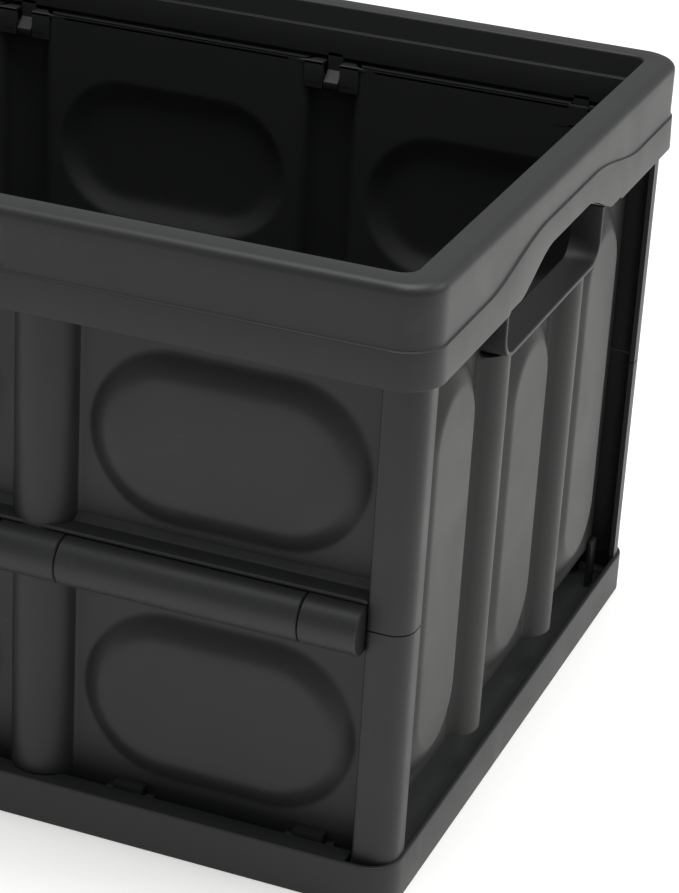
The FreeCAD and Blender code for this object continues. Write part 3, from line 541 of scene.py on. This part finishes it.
def endPanelParts():
    e, s = endPanel, side
    parts = [endShell(), lip()]
    line = knuckleOutline(e["pivotDepth"], e["pivotHeight"], False, 2 * s["knuckleRadius"])
    near = s["lugWidth"] / 2 + s["gap"]
    for station in endStations:
        parts += [prism(line, station - near - s["knuckleWidth"], station - near),
                  prism(line, station + near, station + near + s["knuckleWidth"])]
    return parts


for where in ("left", "right"):
    parts = [turned(part, where) for part in endPanelParts()]
    makePiece(where + "_end_moulding", parts, endPlastic, where + "_end",
              [where + "_end_panel"])


topFrame = {
    "corner": 18, "mouthCorner": 7, "mouthDepth": 16, "leastCorner": 3,
    "low": 241.5, "step": 257.6, "lean": 0.5, "flare": 1.4, "wall": 2.4, "topRound": 4.5,
    "ledge": 273, "ledgeDepth": 18, "innerLow": 259, "shortInnerLow": 274,
    "archHalf": 74, "archFlank": 50, "archRise": 14.5,
    "bandHalf": 108, "bandFlank": 74, "bandRise": 10.5,
    "nickHalf": 80, "nickRise": 1.4,
    "bandFade": 3, "shortEnd": 22, "shortFlank": 2,
    "recessHalf": 74, "recessFlank": 2.5, "recessLow": 259.5, "recessHigh": 275, "recessDepth": 0.8,
    "recessEdge": 0.8, "recessRows": (262, 266, 270),
    "lugTaper": 5, "lugSink": 2, "webLow": 270, "webHigh": 275,
    "sampleStep": 2.0, "cornerSteps": 14,
}


def ringSamples(step, cornerSteps):
    # Samples round a rectangle: corner signs at both ends of a run, share of the run, and direction
    signs = [(1, -1), (1, 1), (-1, 1), (-1, -1)]
    spans = [2 * halfWidth, 2 * halfLength] * 2
    rows = []
    for n in range(4):
        here, there = signs[n], signs[(n + 1) % 4]
        start = math.radians(90 * n - 90)
        turn = np.linspace(start, start + math.pi / 2, cornerSteps, endpoint=False)
        rows.append(np.stack([np.full(cornerSteps, v) for v in (*here, *there, 0.0)] + [turn], -1))
        count = int(spans[n] / step)
        share = np.linspace(0, 1, count, endpoint=False)
        run = [np.full(count, v) for v in (*here, *there)] + [share, np.full(count, start + math.pi / 2)]
        rows.append(np.stack(run, -1))
    return np.concatenate(rows)


def sweepRing(profile, samples, radius):
    # Profile (depth, height) carried round the rounded rectangle, offset inward by its depth,
    # with a corner radius for each of its points
    depth = profile[None, :, 0]
    ax, ay, bx, by, share, turn = [samples[:, k:k + 1] for k in range(6)]
    x = ((1 - share) * ax + share * bx) * (halfLength - depth - radius) + radius * np.cos(turn)
    y = ((1 - share) * ay + share * by) * (halfWidth - depth - radius) + radius * np.sin(turn)
    z = np.repeat(profile[None, :, 1], len(samples), 0)
    return np.stack([x, y, z], -1)


def frameRing():
    f = topFrame
    wall = f["flare"] + f["wall"]
    thin = f["mouthDepth"] - f["wall"]
    corners = [
        (0, f["low"], 0.5), (f["lean"], f["step"], 0.45), (f["flare"], f["step"] + 0.5, 0.3),
        (f["flare"], crateTop, f["topRound"]), (f["mouthDepth"], crateTop, 1.2),
        (f["mouthDepth"], f["ledge"], 0.4), (f["ledgeDepth"], f["ledge"] - 0.1, 0.4),
        (f["ledgeDepth"], f["innerLow"], 0.5), (thin, f["innerLow"], 0.5),
        (thin, crateTop - f["wall"], 1.0), (wall, crateTop - f["wall"], 1.0),
        (wall, f["low"], 0.5),
    ]
    profile = roundedLine(corners, 6)
    # extra rows on the upper band carry the shallow recess
    low, high, edge = f["recessLow"], f["recessHigh"], f["recessEdge"]
    levels = (low, low + edge, *f["recessRows"], high - edge, high)
    rows = np.array([[f["flare"], level] for level in levels])
    at = int(np.argmax((profile[:, 0] > f["flare"] - 0.01) & (profile[:, 1] > f["recessHigh"])))
    profile = np.concatenate([profile[:at], rows, profile[at:]])
    samples = ringSamples(f["sampleStep"], f["cornerSteps"])
    slope = (f["corner"] - f["mouthCorner"]) / f["mouthDepth"]
    ring = sweepRing(profile, samples, np.maximum(f["corner"] - slope * profile[:, 0], f["leastCorner"]))
    turn = samples[:, 5:6]
    onShort = (samples[:, 4:5] > 0) & (abs(np.sin(turn)) < 0.01)
    onLong = (samples[:, 4:5] > 0) & (abs(np.cos(turn)) < 0.01)
    x, y, z = ring[..., 0], ring[..., 1], ring[..., 2]
    level = profile[None, :, 1]
    depth = profile[None, :, 0]
    outerPart = depth < wall + 0.5
    # the lower edge follows the arch over the hand, and the step follows more widely
    isLow = outerPart & (level < f["low"] + 1.5)
    isStep = outerPart & (abs(level - f["step"]) < 1.2) & (depth < wall - 0.5)
    isBandTop = outerPart & (level > f["step"] + 1.2) & (level < high + 0.5) & (depth < wall - 0.5)
    arch = f["archRise"] * ease((f["archHalf"] - abs(y)) / f["archFlank"])
    nick = f["nickRise"] * ease((f["nickHalf"] - abs(y)) / 1.5)
    band = f["bandRise"] * ease((f["bandHalf"] - abs(y)) / f["bandFlank"])
    z += np.where(onShort & isLow, np.maximum(arch, nick), 0)
    z += np.where(onShort & isStep, band, 0)
    fadeTop = f["recessHigh"] + f["bandFade"]
    left = (fadeTop - level) / (fadeTop - f["step"])
    z += np.where(onShort & isBandTop, band * np.clip(left, 0, 1), 0)
    # the inner wall is short above the end panels
    isInner = (depth > thin - 0.5) & (level < f["ledge"] + 1)
    shortened = np.where(onShort & isInner, ease((halfWidth - f["shortEnd"] - abs(y)) / f["shortFlank"]), 0)
    target = np.where(level > f["innerLow"] + 5, f["shortInnerLow"] + 1.4, f["shortInnerLow"])
    z += shortened * (target - level)
    # the shallow recess in the middle of the long sides
    inRecess = (abs(depth - f["flare"]) < 0.02) & (level > low + edge / 2) & (level < high - edge / 2)
    dip = f["recessDepth"] * ease((f["recessHalf"] - abs(x)) / f["recessFlank"])
    ring[..., 1] -= np.where(onLong & inRecess, dip * np.sin(turn), 0)
    rows, columns = ring.shape[:2]
    return ring.reshape(-1, 3), gridFaces(rows, columns, True, True).tolist()


def frameLugs():
    f, s, e = topFrame, side, endPanel
    parts = []
    half = s["lugWidth"] / 2
    for where in ("front", "back"):
        line = knuckleOutline(s["pivotDepth"], s["framePivot"], True, 1)
        high, face = f["innerLow"] + f["lugSink"], f["ledgeDepth"]
        slim = [[face, line[-2, 1] + f["lugTaper"]], [face, high], [line[-1, 0], high]]
        line = np.concatenate([line[:-1], slim])
        parts += [turned(prism(line, station - half, station + half), where) for station in frameStations]
    for where in ("left", "right"):
        reach = f["shortInnerLow"] + 1 - e["pivotHeight"]
        line = knuckleOutline(e["pivotDepth"], e["pivotHeight"], True, reach)
        outer, inner = f["mouthDepth"] - f["wall"], e["pivotDepth"] + s["knuckleRadius"]
        low, high = f["webLow"], f["webHigh"]
        web = [(outer, low), (inner, low), (inner, high), (outer, high)]
        for station in endStations:
            parts += [turned(prism(line, station - half, station + half), where),
                      turned(prism(web, station - half, station + half), where)]
    return parts


makePiece("top_frame_moulding", [frameRing()] + frameLugs(), framePlastic, "crate_body",
          ["top_frame"])


baseTray = {
    "outer": 3, "wall": 2.6, "rim": 20.5, "corner": 15, "leastCorner": 3,
    "sampleStep": 12, "cornerSteps": 12,
    "floorLow": 3, "floorHigh": 5.4, "floorEdge": 10, "floorInset": 9.5, "lugSink": 0.6,
    "foot": 8.2, "ribPitch": 58, "ribHalf": 1.5, "ribLow": 1,
    "stopInner": 16.5, "stopOuter": 14, "stopHigh": 31, "stopHalf": 4, "stopPlace": 147.7,
    "curbHigh": 19.5, "curbWall": 2, "curbOuter": 5.4, "curbInner": 15.2, "curbReach": 236,
}


def trayRim():
    b = baseTray
    inner = b["outer"] + b["wall"]
    profile = roundedLine([
        (b["outer"], 0, 0.5), (b["outer"], b["rim"], 0.8), (inner, b["rim"], 0.8),
        (inner, b["floorHigh"], 1.2), (b["floorEdge"], b["floorHigh"], 0.3),
        (b["floorEdge"], b["floorLow"], 0.3),
        (b["foot"], b["floorLow"], 0.3), (b["foot"], 0, 0.5),
    ])
    radius = np.maximum(b["corner"] + b["outer"] - profile[:, 0], b["leastCorner"])
    ring = sweepRing(profile, ringSamples(b["sampleStep"], b["cornerSteps"]), radius)
    rows, columns = ring.shape[:2]
    return ring.reshape(-1, 3), gridFaces(rows, columns, True, True).tolist()


def trayFloor():
    # Floor section along the length, flat above and ribbed below, carried across the width
    b = baseTray
    end, half = halfLength - b["floorInset"], b["ribHalf"]
    centres = b["ribPitch"] * np.arange(-4, 5)
    teeth = np.stack([[c - half, c - half, c + half, c + half] for c in centres])
    levels = np.tile([b["floorLow"], b["ribLow"], b["ribLow"], b["floorLow"]], (len(centres), 1))
    under = np.stack([teeth.ravel(), levels.ravel()], -1)
    top = b["floorHigh"] - 0.05
    line = np.concatenate([[[-end, top], [-end, b["floorLow"]]], under, [[end, b["floorLow"]], [end, top]]])
    wide = halfWidth - b["floorInset"]
    points, faces = prism(line, -wide, wide, 0.01)
    return points[:, [1, 0, 2]], faces


def trayFittings():
    b, s = baseTray, side
    parts = []
    arm = s["basePivot"] - b["floorHigh"] + b["lugSink"]
    line = knuckleOutline(s["pivotDepth"], s["basePivot"], False, arm)
    near, half = s["knuckleWidth"] / 2 + s["gap"], s["lugWidth"] / 2
    for where in ("front", "back"):
        for station in baseStations:
            parts += [turned(prism(line, station - near - half, station - near), where),
                      turned(prism(line, station + near, station + near + half), where)]
    # the curb's plate and web: one bent section between the rim and the hinge
    high, foot = b["curbHigh"], b["floorHigh"] - 0.1
    plate, web = high - b["curbWall"], b["curbInner"] - b["curbWall"]
    front, back = b["curbOuter"], b["curbInner"]
    curb = roundedLine([(front, plate, 0.2), (front, high, 0.2), (back, high, 0.6), (back, foot, 0.2),
                        (web, foot, 0.2), (web, plate, 0.4)])
    parts += [turned(prism(curb, -b["curbReach"], b["curbReach"]), where) for where in ("front", "back")]
    stop = roundedLine([(b["stopOuter"], b["floorHigh"] - 0.5, 0.2), (b["stopOuter"], b["stopHigh"], 0.8),
                        (b["stopInner"], b["stopHigh"], 0.8), (b["stopInner"], b["floorHigh"] - 0.5, 0.2)])
    for where in ("left", "right"):
        for centre in (-b["stopPlace"], b["stopPlace"]):
            parts.append(turned(prism(stop, centre - b["stopHalf"], centre + b["stopHalf"], 0.5), where))
    return parts


makePiece("base_tray_moulding", [trayRim(), trayFloor()] + trayFittings(), basePlastic, "crate_body",
          ["base_tray"])

for name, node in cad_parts.items():
    if name.endswith("_rod"):
        for place in node.material_slots:
            place.material = rodSteel


studio = {
    "floor": "f4f4f2", "floorRoughness": 0.7, "floorGlow": 0.22, "floorReach": 12,
    "sky": "ffffff", "skyStrength": 0.42,
    "lights": [
        # name, place, target, size, power
        ("key", (2.4, 1.3, 1.9), (0.1, 0.1, 0.15), 1.8, 30),
        ("overhead", (0.2, 0.0, 2.8), (0, 0, 0.1), 2.4, 80),
    ],
}
camera = {
    "place": (0.5855, -1.1447, 0.6969), "azimuth": 20.415, "elevation": 25.066, "roll": 3.462,
    "lens": 116.76, "sensor": 36,
}


def makeStudio():
    world = bpy.data.worlds.new("studio")
    scene.world = world
    world.use_nodes = True
    sky = world.node_tree.nodes["Background"]
    sky.inputs["Color"].default_value = linearColour(studio["sky"])
    sky.inputs["Strength"].default_value = studio["skyStrength"]
    material, tree = newMaterial("painted_studio_floor")
    shader = addNode(tree, "ShaderNodeBsdfPrincipled",
                     {"Base Color": linearColour(studio["floor"]), "Roughness": studio["floorRoughness"],
                      "Emission Color": linearColour(studio["floor"]),
                      "Emission Strength": studio["floorGlow"]})
    addNode(tree, "ShaderNodeOutputMaterial", None, {"Surface": (shader, "BSDF")})
    mesh = bpy.data.meshes.new("studio_floor")
    reach = studio["floorReach"]
    mesh.from_pydata([(-reach, -reach, 0), (reach, -reach, 0), (reach, reach, 0), (-reach, reach, 0)], [],
                     [(0, 1, 2, 3)])
    mesh.materials.append(material)
    floor = bpy.data.objects.new("studio_floor", mesh)
    scene.collection.objects.link(floor)
    for name, spot, target, size, power in studio["lights"]:
        lamp = bpy.data.lights.new(name, "AREA")
        lamp.shape = "DISK"
        lamp.size = size
        lamp.energy = power
        item = bpy.data.objects.new(name, lamp)
        item.location = spot
        item.rotation_euler = (Vector(spot) - Vector(target)).to_track_quat("Z", "Y").to_euler()
        scene.collection.objects.link(item)


def makeCamera():
    # looks along its azimuth, down by its elevation, then rolls about the line of sight
    azimuth, elevation, roll = [math.radians(camera[k]) for k in ("azimuth", "elevation", "roll")]
    look = np.array([-math.sin(azimuth) * math.cos(elevation), math.cos(azimuth) * math.cos(elevation),
                     -math.sin(elevation)])
    right = np.array([math.cos(azimuth), math.sin(azimuth), 0])
    up = np.cross(right, look)
    across = math.cos(roll) * right + math.sin(roll) * up
    upward = -math.sin(roll) * right + math.cos(roll) * up
    data = bpy.data.cameras.new("camera")
    data.lens = camera["lens"]
    data.sensor_width = camera["sensor"]
    item = bpy.data.objects.new("camera", data)
    turn = np.column_stack([across, upward, -look, camera["place"]])
    item.matrix_world = Matrix(np.vstack([turn, [0, 0, 0, 1]]).tolist())
    scene.collection.objects.link(item)
    scene.camera = item


makeStudio()
makeCamera()
scene.view_settings.view_transform = "Standard"
print("studio and camera ready")
